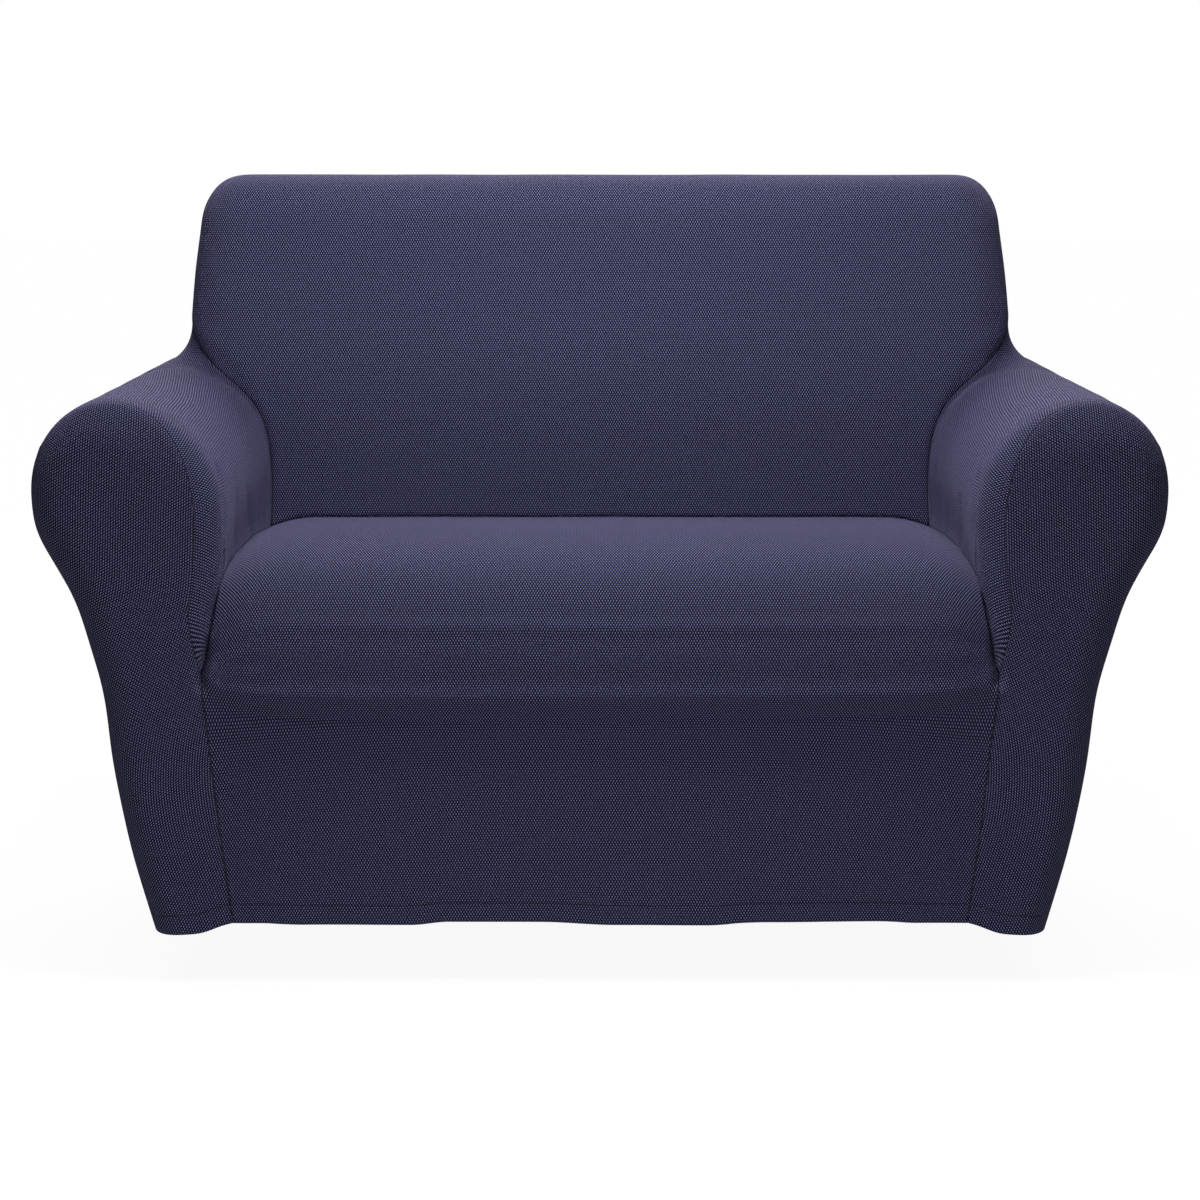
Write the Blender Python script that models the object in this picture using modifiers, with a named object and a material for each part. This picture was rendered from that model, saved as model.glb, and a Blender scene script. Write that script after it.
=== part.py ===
"""A fitted slipcover of stretch knit, with the shape in which it hangs on a small rolled-arm sofa.

Metres, +Z up, and the front faces -Y. The origin is under the middle of the cover, level with the
lowest corners of its hem. The sofa is not modelled: the cover is hollow, and open underneath.
Left is the side at -X. Each panel is one sheet, cut back a little from its neighbours at the seams.

Shapes are worked out for the right half in three directions: across (from the middle plane),
deep (back from the plane of the arm fronts) and up (from the hem).
"""

import math

import bmesh
import bpy
from mathutils import Vector

CLOTH = 0.0012  # thickness of the knit
SEAM_GAP = 0.0007  # each panel stops this far from a flat seam
CREASE_GAP = 0.0018  # and this far from a deep crease, where two sheets meet at an angle
FRONT_Y = -0.397  # the arm fronts' plane, which centres the cover on the origin

TOP_UP = 0.923  # top of the back above the hem's corners
SEAT_HALF = 0.4585  # half the seat's width between the arms
CREVICE = (0.580, 0.450)  # (deep, up) of the line where seat and inside back meet
CREVICE_END_UP = 0.436  # that line turns down to this height at its ends, beside the arms
BACK_LEAN = 0.194  # how far the inside back leans away for each metre up
REAR_DEEP = 0.797  # outside back at the hem
REAR_LEAN = 0.022  # how far the outside back leans in for each metre up
HEM_RISE = 0.012  # how far the hem rises between the legs
SKIRT_SINK = 0.010  # how far back the skirt hangs from the arm fronts' plane, at the hem

CROWN = (0.597, 0.660)  # (across, up) of the top of an arm's roll
ROLL_OUT = 0.6955  # the roll's widest point, which is half the cover's width
ROLL_OUT_UP = 0.5465
ROLL_IN_UP = 0.5145  # where the roll's inner curve runs into the inner wall

FRONT_ROUND = 0.034  # radius from an arm's front to its sleeve
FRONT_ROUND_RISE = 0.095  # length of wall, up from the crease's end, in which that radius grows
BACK_ROUND = 0.050  # radius from the inside back to its sides
BACK_ROUND_RISE = (0.653, 0.733)  # heights between which that radius grows
ARM_SIDE_ROUND = 0.004  # radius of the same edge beside the arms, below those heights
TOP_ROUND = 0.060  # radius from the inside back to the top
TOP_ROUND_RISE = (0.860, 0.910)  # heights between which the side's radius becomes the top's
REAR_ROUND = 0.015  # radius round the outside back
TOP_CORNER = (0.056, 0.070)  # (across, up) of the back's upper corners
SHOULDER = (0.5785, 0.7135)  # (across, up) where an arm's cloth meets the back's side
SHOULDER_SWEEP = 0.045  # how far the cloth stretches out from the back's side to the arm
SWEEP_STEPS = 12
SLEEVE_STEP = 0.004  # the least distance back from one row of a sleeve to the next

# The inner wall of an arm, from the end of the crease beside the cushion to the roll.
INNER_WALL = (
    # across, up
    (0.4885, 0.3210),
    (0.4835, 0.3360),
    (0.4770, 0.3650),
    (0.4705, 0.4000),
    (0.4635, 0.4400),
    (SEAT_HALF, ROLL_IN_UP),
)

# The outer side of an arm, from the roll's widest point, round its neck and down to the hem.
OUTER_SIDE = (
    # across, up
    (ROLL_OUT, ROLL_OUT_UP),
    (0.6905, 0.5010),
    (0.6700, 0.4610),
    (0.6455, 0.4140),
    (0.6275, 0.3560),
    (0.6120, 0.2940),
    (0.6010, 0.2025),
    (0.5815, 0.1020),
    (0.5540, 0.0000),
)

# Where the inside back meets an arm, from the seat up to the shoulder.
BACK_SIDE = (
    # across, up
    (SEAT_HALF, CREVICE_END_UP),
    (0.4585, 0.5140),
    (0.4650, 0.5640),
    (0.4795, 0.6010),
    (0.5030, 0.6290),
    (0.5325, 0.6520),
    (0.5590, 0.6780),
    SHOULDER,
)

# The back's side above the shoulder, as far as its upper corner.
BACK_EDGE = (
    # across, up
    SHOULDER,
    (0.5770, 0.7430),
    (0.5725, 0.7930),
    (0.5650, 0.8530),
)

# Seat, cushion front and skirt, from the crevice forward and down to the hem: the middle line,
# then the edge, then how wide a strip beside the edge bends down or back to reach it.
SEAT = (
    # deep, up, edge_across, edge_deep, edge_up, bend
    (0.580, 0.450, 0.4585, 0.5773, 0.436, 0.060),
    (0.470, 0.462, 0.4588, 0.465, 0.446, 0.070),
    (0.360, 0.475, 0.4600, 0.350, 0.4505, 0.080),
    (0.260, 0.487, 0.4608, 0.240, 0.452, 0.085),
    (0.185, 0.492, 0.4616, 0.150, 0.450, 0.090),
    (0.120, 0.486, 0.4625, 0.080, 0.446, 0.090),
    (0.068, 0.470, 0.4640, 0.038, 0.437, 0.085),
    (0.032, 0.447, 0.4665, 0.018, 0.422, 0.080),
    (0.010, 0.418, 0.4709, 0.011, 0.398, 0.070),
    (-0.002, 0.384, 0.4765, 0.009, 0.368, 0.065),
    (-0.009, 0.345, 0.4835, 0.008, 0.336, 0.070),
    (-0.008, 0.310, 0.4885, 0.000, 0.321, 0.080),
    (0.004, 0.278, 0.4840, 0.001, 0.278, 0.180),
    (0.010, 0.250, 0.4800, 0.004, 0.236, 0.300),
    (0.010, 0.167, 0.4715, 0.007, 0.147, 0.400),
    (0.010, 0.088, 0.4625, 0.009, 0.075, 0.400),
    (0.010, 0.011, 0.4545, 0.010, 0.012, 0.400),
)
SEAT_SIDE_ROWS = 11  # the rows of SEAT that border the sleeve; the others border the arm front
CREASE_T = (SEAT_SIDE_ROWS - 1) / (len(SEAT) - 1)  # the last of those, as a share of all rows
SKIRT_T = SEAT_SIDE_ROWS / (len(SEAT) - 1)  # the first of the others

# Faces along each stretch of a panel.
GIRTH_CELLS = 28  # sleeve, from its inner edge over the roll to the hem
GIRTH_EASE = 0.15  # how much shorter the steps are near both ends
FRONT_CELLS = 3  # sleeve, round the front edge
CREASE_CELLS = 8  # sleeve and seat, from the front to the crevice
BACK_SIDE_CELLS = 5  # sleeve and inside back, up to the shoulder
SHOULDER_CELLS = 2  # sleeve and inside back, from the shoulder to the rear edge
BACK_EDGE_CELLS = 6  # the back's side, from the shoulder to the middle of its upper corner
ACROSS_CELLS = 16  # inside back, outside back and seat, from side to side
ACROSS_EASE = 0.75  # how much shorter those steps are near both sides
FRONT_TOP_CELLS = 6  # arm front, over the top of the roll and from side to side
FRONT_HEM_EASE = 1.6  # above 1, the cells along its hem are narrower towards the outer side
TOP_DRAW = 0.6  # how far the arm front's last row is drawn up to round its fold over the roll
INNER_SEAM_CELLS = 7  # arm front, up its inner seam
SKIRT_CELLS = GIRTH_CELLS - FRONT_TOP_CELLS - 2 * INNER_SEAM_CELLS  # arm front, beside the skirt

NAVY = (0.026, 0.027, 0.066, 1.0)


def smooth(low, high, value):
    """0 below low, 1 above high, and an easy curve between."""
    t = min(max((value - low) / (high - low), 0.0), 1.0)
    return t * t * (3.0 - 2.0 * t)


def spline(rows, t):
    """The point at t, from 0 to 1, on a smooth curve through rows evenly spaced in t."""
    spans = len(rows) - 1
    span = min(int(t * spans), spans - 1)
    f = t * spans - span
    p0, p1, p2, p3 = (rows[min(max(span + k, 0), spans)] for k in (-1, 0, 1, 2))
    return tuple(
        b + 0.5 * f * (c - a + f * (2 * a - 5 * b + 4 * c - d + f * (3 * (b - c) + d - a)))
        for a, b, c, d in zip(p0, p1, p2, p3)
    )


def sampled(rows, per_row=12):
    count = (len(rows) - 1) * per_row
    return [spline(rows, k / count) for k in range(count + 1)]


def quarter(centre, across, up, start, steps=24):
    """A quarter of an ellipse, clockwise from the start angle in degrees."""
    turns = [math.radians(start - 90.0 * k / steps) for k in range(steps + 1)]
    return [(centre[0] + across * math.cos(a), centre[1] + up * math.sin(a)) for a in turns]


class Path:
    """A curve in (across, up), read by its length in metres. Outside is on its left."""

    def __init__(self, points):
        self.points = [points[0]]
        self.lengths = [0.0]
        for point in points[1:]:
            step = math.dist(point, self.points[-1])
            if step > 1e-6:
                self.points.append(point)
                self.lengths.append(self.lengths[-1] + step)
        self.length = self.lengths[-1]

    def at(self, length):
        length = min(max(length, 0.0), self.length)
        k = 1
        while self.lengths[k] < length - 1e-9:
            k += 1
        f = (length - self.lengths[k - 1]) / (self.lengths[k] - self.lengths[k - 1])
        (x0, z0), (x1, z1) = self.points[k - 1], self.points[k]
        return (x0 + f * (x1 - x0), z0 + f * (z1 - z0))

    def outward(self, length, reach=0.004):
        (x0, z0), (x1, z1) = self.at(length - reach), self.at(length + reach)
        size = math.hypot(x1 - x0, z1 - z0)
        return (-(z1 - z0) / size, (x1 - x0) / size)

    def nearest(self, point):
        """Length along the path of the place nearest to a point."""
        best = (math.inf, 0.0)
        for k in range(1, len(self.points)):
            (x0, z0), (x1, z1) = self.points[k - 1], self.points[k]
            step = self.lengths[k] - self.lengths[k - 1]
            f = ((point[0] - x0) * (x1 - x0) + (point[1] - z0) * (z1 - z0)) / step**2
            f = min(max(f, 0.0), 1.0)
            gap = math.dist((x0 + f * (x1 - x0), z0 + f * (z1 - z0)), point)
            best = min(best, (gap, self.lengths[k - 1] + f * step))
        return best[1]

    def between(self, start, end):
        """The part of the path from one length to another."""
        middle = [p for p, at in zip(self.points, self.lengths) if start < at < end]
        return [self.at(start)] + middle + [self.at(end)]


def arm_profile():
    """An arm's section: up the inner wall, over the roll and down the outer side to the hem."""
    inner = quarter((CROWN[0], ROLL_IN_UP), CROWN[0] - SEAT_HALF, CROWN[1] - ROLL_IN_UP, 180.0)
    outer = quarter((CROWN[0], ROLL_OUT_UP), ROLL_OUT - CROWN[0], CROWN[1] - ROLL_OUT_UP, 90.0)
    return Path(sampled(INNER_WALL) + inner + outer + sampled(OUTER_SIDE))


def back_outline():
    """The back from the front: from the top's middle round the corner and down to the seat."""
    centre = (BACK_EDGE[-1][0] - TOP_CORNER[0], TOP_UP - TOP_CORNER[1])
    top = [(centre[0] * k / 24, TOP_UP) for k in range(25)]
    corner = quarter(centre, TOP_CORNER[0], TOP_CORNER[1], 90.0)
    return Path(top + corner + sampled(BACK_EDGE)[::-1] + sampled(BACK_SIDE)[::-1])


ARM = arm_profile()
BACK = back_outline()
CROWN_LENGTH = ARM.nearest(CROWN)
CORNER_LENGTH = BACK.nearest((BACK_EDGE[-1][0] - 0.3 * TOP_CORNER[0], TOP_UP - 0.3 * TOP_CORNER[1]))
SHOULDER_LENGTH = BACK.nearest(SHOULDER)


def place(across, deep, up):
    return Vector((across, FRONT_Y + deep, up))


def back_deep(up):
    """Depth of the inside back's face at a height."""
    return CREVICE[0] + BACK_LEAN * (up - CREVICE[1])


def rear_deep(up):
    return REAR_DEEP - REAR_LEAN * up


def front_round(length):
    """Radius of an arm's front edge, which dies away into the crease beside the cushion."""
    return FRONT_ROUND * math.sin(math.pi / 2 * min(length / FRONT_ROUND_RISE, 1.0))


def seam_turn(length):
    """How far round the front edge the seam lies: on the front inside, at the side outside."""
    return math.radians(78.0) * smooth(CROWN_LENGTH - 0.200, CROWN_LENGTH + 0.030, length)


def front_edge(length, turn):
    """A point on the rounded edge between an arm's front and its sleeve."""
    across, up = ARM.at(length)
    out_across, out_up = ARM.outward(length)
    radius = front_round(length)
    inset = radius * (1.0 - math.sin(turn))
    return place(across - inset * out_across, radius * (1.0 - math.cos(turn)), up - inset * out_up)


def back_round(length):
    """Radius of the inside back's edge: wide over the top and sides, small beside the arms."""
    up = BACK.at(length)[1]
    side = ARM_SIDE_ROUND * smooth(CREVICE_END_UP, CREVICE_END_UP + 0.05, up)
    side += (BACK_ROUND - ARM_SIDE_ROUND) * smooth(*BACK_ROUND_RISE, up)
    return side + (TOP_ROUND - BACK_ROUND) * smooth(*TOP_ROUND_RISE, up)


def back_edge_point(length):
    across, up = BACK.at(length)
    return place(across, back_deep(up) + back_round(length), up)


def side_lengths():
    """Lengths on BACK from the crevice up to the shoulder and on to the corner's middle."""
    below = [
        BACK.length + (SHOULDER_LENGTH - BACK.length) * k / BACK_SIDE_CELLS
        for k in range(BACK_SIDE_CELLS)
    ]
    above = [
        SHOULDER_LENGTH + (CORNER_LENGTH - SHOULDER_LENGTH) * k / BACK_EDGE_CELLS
        for k in range(BACK_EDGE_CELLS + 1)
    ]
    return below + above


def spread(k, count, ease):
    """Share k of count, with smaller steps near both ends."""
    t = k / count
    return t - ease * math.sin(2.0 * math.pi * t) / (2.0 * math.pi)


def across_shares():
    return [2.0 * spread(k, ACROSS_CELLS, ACROSS_EASE) - 1.0 for k in range(ACROSS_CELLS + 1)]


def seat_row(t):
    """One row of the seat, by its place t from the crevice (0) to the hem (1)."""
    return spline(SEAT, t)


def seat_points(t):
    """The points of that row, from side to side."""
    deep, up, edge_across, edge_deep, edge_up, bend = seat_row(t)
    points = []
    for share in across_shares():
        across = share * edge_across
        f = max(1.0 - (edge_across - abs(across)) / bend, 0.0) ** 2
        points.append(place(across, deep + (edge_deep - deep) * f, up + (edge_up - up) * f))
    return points


def crease_t(k):
    """Place of sleeve station k on the seat's rows, counted from the crease's lower end."""
    return CREASE_T * (1.0 - k / CREASE_CELLS)


def seat_edge(t):
    row = seat_row(t)
    return place(row[2], row[3], row[4])


def hem_drop(deep):
    """Height of the hem along an arm's outer side, lowest over the front and rear legs."""
    return HEM_RISE * smooth(0.03, 0.30, deep) * smooth(0.03, 0.30, REAR_DEEP - deep)


def roll_up(across):
    """Height of an arm's roll at a distance across."""
    inner = across < CROWN[0]
    reach = CROWN[0] - SEAT_HALF if inner else ROLL_OUT - CROWN[0]
    middle = ROLL_IN_UP if inner else ROLL_OUT_UP
    share = min(abs(CROWN[0] - across) / reach, 1.0)
    return middle + (CROWN[1] - middle) * math.sqrt(1.0 - share * share)


def sleeve_section(start):
    """The sleeve's section from a start on the arm, or from one on the back's side above it."""
    across, up, deep = start.x, start.z, start.y - FRONT_Y
    end = ARM.length - hem_drop(deep)
    lift = up - roll_up(across) if up > ROLL_IN_UP + 0.02 else 0.0
    if lift < 0.001:
        return Path([(across, up)] + ARM.between(ARM.nearest((across, up)) + 0.0005, end)[1:])
    sweep = SHOULDER_SWEEP * smooth(0.0, 0.030, lift)
    rise = []
    for k in range(SWEEP_STEPS):
        turn = math.radians(90.0 * k / SWEEP_STEPS)
        x = across + sweep * (1.0 - math.cos(turn))
        rise.append((x, roll_up(x) + lift * (1.0 - math.sin(turn))))
    foot = (across + sweep, roll_up(across + sweep))
    return Path(rise + ARM.between(ARM.nearest(foot), end))


def sleeve_rows():
    """Points of the right sleeve: a row for each station from the front seam to the rear seam."""
    rows = []
    shares = [spread(k, GIRTH_CELLS, GIRTH_EASE) for k in range(GIRTH_CELLS + 1)]
    crease_end = ARM.nearest(INNER_WALL[1])
    for k in range(FRONT_CELLS + 1):
        row = []
        skipped = crease_end * k / FRONT_CELLS
        for share in shares:
            length = skipped + (ARM.length - skipped) * share
            seam = seam_turn(length)
            row.append(front_edge(length, seam + (math.pi / 2 - seam) * k / FRONT_CELLS))
        rows.append(row)
    rows[-1][0] = seat_edge(crease_t(0))
    starts = [seat_edge(crease_t(k)) for k in range(1, CREASE_CELLS + 1)]
    starts += [back_edge_point(length) for length in side_lengths()[1 : BACK_SIDE_CELLS + 1]]
    for start in starts:
        path = sleeve_section(start)
        points = [path.at(path.length * share) for share in shares]
        rows.append([Vector((across, start.y, up)) for across, up in points])
    for behind, row in enumerate(rows[FRONT_CELLS:]):
        for point, edge in zip(row[1:], rows[FRONT_CELLS][1:]):
            point.y = max(point.y, edge.y + SLEEVE_STEP * behind)
    shoulder = rows[-1]
    for k in range(1, SHOULDER_CELLS + 1):
        rows.append([to_rear(point, k / SHOULDER_CELLS) for point in shoulder])
    return rows


def to_rear(point, share):
    """A point carried straight back by a share of its way to the rear edge."""
    rear = FRONT_Y + rear_deep(point.z) - REAR_ROUND
    return Vector((point.x, point.y + (rear - point.y) * share, point.z))


def patch(low, high, left, right):
    """A flat sheet between four edges given as lists of (across, up): Coons's rule."""
    across_count, up_count = len(low) - 1, len(left) - 1
    span = Path(left)
    heights = [length / span.length for length in span.lengths]
    rows = []
    for j in range(up_count + 1):
        b = heights[j]
        row = []
        for i in range(across_count + 1):
            a = (low[i][0] - low[0][0]) / (low[-1][0] - low[0][0])
            point = []
            for n in (0, 1):
                edges = (1 - b) * low[i][n] + b * high[i][n] + (1 - a) * left[j][n] + a * right[j][n]
                ends = (1 - a) * ((1 - b) * low[0][n] + b * high[0][n])
                ends += a * ((1 - b) * low[-1][n] + b * high[-1][n])
                point.append(edges - ends)
            row.append(tuple(point))
        rows.append(row)
    return rows


def wrapped(path, point, radius_at):
    """Fold a flat point over the rounded edge that ends at a path: (across, drop, up)."""
    length = path.nearest(point)
    foot = path.at(length)
    out = path.outward(length)
    inside = (foot[0] - point[0]) * out[0] + (foot[1] - point[1]) * out[1]
    radius = radius_at(length)
    over = radius - inside
    if radius == 0.0 or over <= 0.0:
        return point[0], 0.0, point[1]
    turn = min(over / radius, math.pi / 2)
    shift = inside - radius * (1.0 - math.sin(turn))
    return point[0] + shift * out[0], radius * (1.0 - math.cos(turn)), point[1] + shift * out[1]


def unrolled(path, length, radius, turn=math.pi / 2):
    """The flat place of a point that will be folded by a turn over the path's rounded edge."""
    across, up = path.at(length)
    out = path.outward(length)
    return (across + radius * (turn - 1.0) * out[0], up + radius * (turn - 1.0) * out[1])


def sheet(name, rows, closed_by=None):
    """A sheet whose vertices lie at the rows' points, made from a grid."""
    mesh = bpy.data.meshes.new(name)
    bm = bmesh.new()
    bmesh.ops.create_grid(bm, x_segments=len(rows[0]) - 1, y_segments=len(rows) - 1, size=1.0)
    bm.verts.ensure_lookup_table()
    flat = [point for row in rows for point in row]
    for vert, point in zip(bm.verts, flat):
        vert.co = point
    if closed_by:
        closed_by(bm)
    cut_back(bm)
    bm.to_mesh(mesh)
    bm.free()
    obj = bpy.data.objects.new(name, mesh)
    COVER.objects.link(obj)
    solid = obj.modifiers.new("cloth", "SOLIDIFY")
    solid.thickness = CLOTH
    solid.offset = 0.0
    mesh.shade_smooth()
    mesh.set_sharp_from_angle(angle=math.radians(50))
    mesh.materials.append(knit(name))
    return obj


def seam_gap(point):
    """How far a panel stops from its seam: further in the creases round the seat and the back."""
    across, deep, up = abs(point.x), point.y - FRONT_Y, point.z
    beside_seat = across < SEAT_HALF + 0.030 and 0.30 < up < CREVICE[1] + 0.02
    beside_back = CREVICE[0] - 0.02 < deep < REAR_DEEP - 0.04 and up < SHOULDER[1] + 0.01
    beside_back = beside_back and CREVICE_END_UP - 0.01 < up and across < SHOULDER[0] + 0.01
    if not beside_seat and not beside_back:
        return SEAM_GAP
    return SEAM_GAP + (CREASE_GAP - SEAM_GAP) * smooth(0.000, 0.020, deep)


def cut_back(bm):
    """Draw a panel's edge in from its seams, square to the seam and in the panel's surface."""
    moves = {}
    for vert in bm.verts:
        rim = [edge for edge in vert.link_edges if edge.is_boundary]
        if len(rim) != 2:
            continue
        middle = sum((f.calc_center_median() for f in vert.link_faces), Vector())
        inward = middle / len(vert.link_faces) - vert.co
        ends = [edge.other_vert(vert).co for edge in rim]
        along = (ends[1] - ends[0]).normalized()
        corner = (ends[0] - vert.co).angle(ends[1] - vert.co) < math.radians(130)
        if not corner:
            inward -= along * inward.dot(along)
        moves[vert] = inward.normalized() * seam_gap(vert.co) * (1.4 if corner else 1.0)
    for vert, move in moves.items():
        vert.co += move


def mirrored(rows):
    return [[Vector((-p.x, p.y, p.z)) for p in row[::-1]] for row in rows]


def sleeves():
    rows = sleeve_rows()
    sheet("arm_sleeve_right", rows)
    sheet("arm_sleeve_left", mirrored(rows))


def seat_and_skirt():
    """Seat top, cushion front and front skirt, in one length."""
    crease = [crease_t(k) for k in range(CREASE_CELLS, -1, -1)]
    skirt = [1.0 - (1.0 - SKIRT_T) * k / SKIRT_CELLS for k in range(SKIRT_CELLS, -1, -1)]
    rows = [seat_points(t) for t in crease + skirt]
    sheet("seat_and_skirt", rows)


def arm_front_rows():
    """Points of the right arm front, folded over the roll and the outer side."""
    outer_start = INNER_SEAM_CELLS + FRONT_TOP_CELLS
    girth = [ARM.length * spread(k, GIRTH_CELLS, GIRTH_EASE) for k in range(GIRTH_CELLS + 1)]
    seam = [front_edge(length, seam_turn(length)) for length in girth]
    flat = [unrolled(ARM, length, front_round(length), seam_turn(length)) for length in girth]
    border = [seat_edge(1.0 - (1.0 - SKIRT_T) * k / SKIRT_CELLS) for k in range(SKIRT_CELLS + 1)]
    left = [(p.x, p.z) for p in border] + flat[1 : INNER_SEAM_CELLS + 1]
    left_real = border + seam[1 : INNER_SEAM_CELLS + 1]
    high = flat[INNER_SEAM_CELLS : outer_start + 1]
    high_real = seam[INNER_SEAM_CELLS : outer_start + 1]
    right = flat[outer_start:][::-1]
    right_real = seam[outer_start:][::-1]
    start, end = left[0], right[0]
    low = []
    for k in range(FRONT_TOP_CELLS + 1):
        f = 1.0 - (1.0 - k / FRONT_TOP_CELLS) ** FRONT_HEM_EASE
        rise = HEM_RISE * (1.0 - smooth(0.0, 0.4, f))
        low.append((start[0] + (end[0] - start[0]) * f, rise + end[1] * f))
    low[0], low[-1] = start, end
    flat_rows = patch(low, high, left, right)
    for n in range(1, FRONT_TOP_CELLS):
        draw = TOP_DRAW * math.sin(math.pi * n / FRONT_TOP_CELLS)
        under, seam_point = flat_rows[-2][n], flat_rows[-1][n]
        flat_rows[-2][n] = tuple(u + (s - u) * draw for u, s in zip(under, seam_point))
    rows = []
    for j, flat_row in enumerate(flat_rows):
        row = []
        for point in flat_row:
            across, drop, up = wrapped(ARM, point, front_round)
            sink = SKIRT_SINK * (1.0 - smooth(0.0, INNER_WALL[0][1], up))
            sink *= 1.0 - smooth(SEAT[-1][2], OUTER_SIDE[-1][0], across)
            row.append(place(across, drop + sink, up))
        row[0], row[-1] = left_real[j], right_real[j]
        rows.append(row)
    rows[-1] = high_real
    return rows


def arm_fronts():
    rows = arm_front_rows()
    sheet("arm_front_right", rows)
    sheet("arm_front_left", mirrored(rows))


def inside_back():
    """Inside back with its top and sides, which fold back to the rear edge."""
    lengths = side_lengths()
    right = [unrolled(BACK, length, back_round(length)) for length in lengths]
    right_real = [back_edge_point(length) for length in lengths]
    shares = across_shares()
    top_lengths = [CORNER_LENGTH * abs(share) for share in shares]
    high = [unrolled(BACK, length, back_round(length)) for length in top_lengths]
    high = [(math.copysign(x, share), z) for (x, z), share in zip(high, shares)]
    high_real = [back_edge_point(length) for length in top_lengths]
    low = [(p.x, p.z) for p in seat_points(0.0)]
    left = [(-x, z) for x, z in right]
    rows = []
    for j, flat_row in enumerate(patch(low, high, left, right)):
        row = []
        for point in flat_row:
            across, drop, up = wrapped(BACK, (abs(point[0]), point[1]), back_round)
            row.append(place(math.copysign(across, point[0]), back_deep(up) + drop, up))
        row[-1] = right_real[j]
        row[0] = Vector((-row[-1].x, row[-1].y, row[-1].z))
        rows.append(row)
    rows[-1] = [
        Vector((math.copysign(p.x, share), p.y, p.z)) for p, share in zip(high_real, shares)
    ]
    sheet("inside_back", rows, fold_to_rear)


def fold_to_rear(bm):
    """Carry the inside back's top and sides straight back to the rear edge."""
    foot = SHOULDER[1] - 0.001
    rim = [e for e in bm.edges if e.is_boundary and min(v.co.z for v in e.verts) > foot]
    for k in range(SHOULDER_CELLS, 0, -1):
        made = bmesh.ops.extrude_edge_only(bm, edges=rim)["geom"]
        verts = [piece for piece in made if isinstance(piece, bmesh.types.BMVert)]
        for vert in verts:
            vert.co = to_rear(vert.co, 1.0 / k)
        edges = [piece for piece in made if isinstance(piece, bmesh.types.BMEdge)]
        rim = [edge for edge in edges if all(vert in verts for vert in edge.verts)]


def outside_back():
    """The rear panel, with its edge folded forward over the arms' and the back's rear edges."""
    sleeve_rear = [(p.x, p.z) for p in sleeve_rows()[-1]]
    right = sleeve_rear[::-1] + [BACK.at(length) for length in side_lengths()[BACK_SIDE_CELLS + 1 :]]
    left = [(-x, z) for x, z in right]
    shares = across_shares()
    top = [BACK.at(CORNER_LENGTH * abs(share)) for share in shares]
    high = [(math.copysign(x, share), z) for (x, z), share in zip(top, shares)]
    low = []
    for share in shares:
        across = share * right[0][0]
        rise = HEM_RISE * (1.0 - smooth(0.30, right[0][0], abs(across)))
        low.append((across, right[0][1] + rise))
    rim = Path(top[len(top) // 2 :] + right[::-1][1:])
    rows = []
    for flat_row in patch(low, high, left, right):
        row = []
        for across, up in flat_row:
            inside = math.dist(rim.at(rim.nearest((abs(across), up))), (abs(across), up))
            fold = max(1.0 - inside / REAR_ROUND, 0.0)
            drop = REAR_ROUND * (1.0 - math.sqrt(1.0 - min(fold, 1.0) ** 2))
            row.append(place(across, rear_deep(up) - drop, up))
        rows.append(row[::-1])
    sheet("outside_back", rows)


def knit(name):
    """The navy stretch knit."""
    material = bpy.data.materials.new(f"{name}_knit")
    material.use_nodes = True
    shader = material.node_tree.nodes["Principled BSDF"]
    shader.inputs["Base Color"].default_value = NAVY
    shader.inputs["Roughness"].default_value = 0.9
    shader.inputs["Metallic"].default_value = 0.0
    return material


for old in list(bpy.data.objects):
    bpy.data.objects.remove(old, do_unlink=True)
COVER = bpy.data.collections.new("sofa_slipcover")
bpy.context.scene.collection.children.link(COVER)

inside_back()
outside_back()
seat_and_skirt()
sleeves()
arm_fronts()
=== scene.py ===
"""The looks of the slipcover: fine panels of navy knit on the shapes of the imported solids.

Metres, +Z up, and the front faces -Y. Shapes are worked out for the right half in three directions:
across (from the middle plane), deep (back from the plane of the arm fronts) and up (from the hem).
Each panel starts as a coarse grid, is subdivided until it is smooth, and then takes its creases.
Neighbours share the points of their seams, so the panels meet edge to edge.
"""

import math

import bmesh
import bpy
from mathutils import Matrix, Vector, geometry, kdtree, noise


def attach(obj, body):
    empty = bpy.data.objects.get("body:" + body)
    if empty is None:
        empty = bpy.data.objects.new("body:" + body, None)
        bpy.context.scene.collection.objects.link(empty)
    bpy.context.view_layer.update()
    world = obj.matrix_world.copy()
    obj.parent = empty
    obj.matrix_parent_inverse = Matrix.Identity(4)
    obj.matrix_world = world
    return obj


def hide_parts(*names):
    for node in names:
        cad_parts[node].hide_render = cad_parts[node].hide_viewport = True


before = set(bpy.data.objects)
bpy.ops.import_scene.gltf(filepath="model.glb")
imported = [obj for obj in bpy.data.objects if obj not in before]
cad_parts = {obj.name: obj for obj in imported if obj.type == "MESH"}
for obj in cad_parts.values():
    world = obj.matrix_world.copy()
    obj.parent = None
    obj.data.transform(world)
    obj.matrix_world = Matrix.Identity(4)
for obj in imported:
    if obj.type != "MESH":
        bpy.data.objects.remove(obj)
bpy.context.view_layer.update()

CLOTH = 0.0012  # thickness of the knit
FRONT_Y = -0.397  # the arm fronts' plane
FLOOR_UP = -0.062  # the floor: the hem stops this far above it

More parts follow.
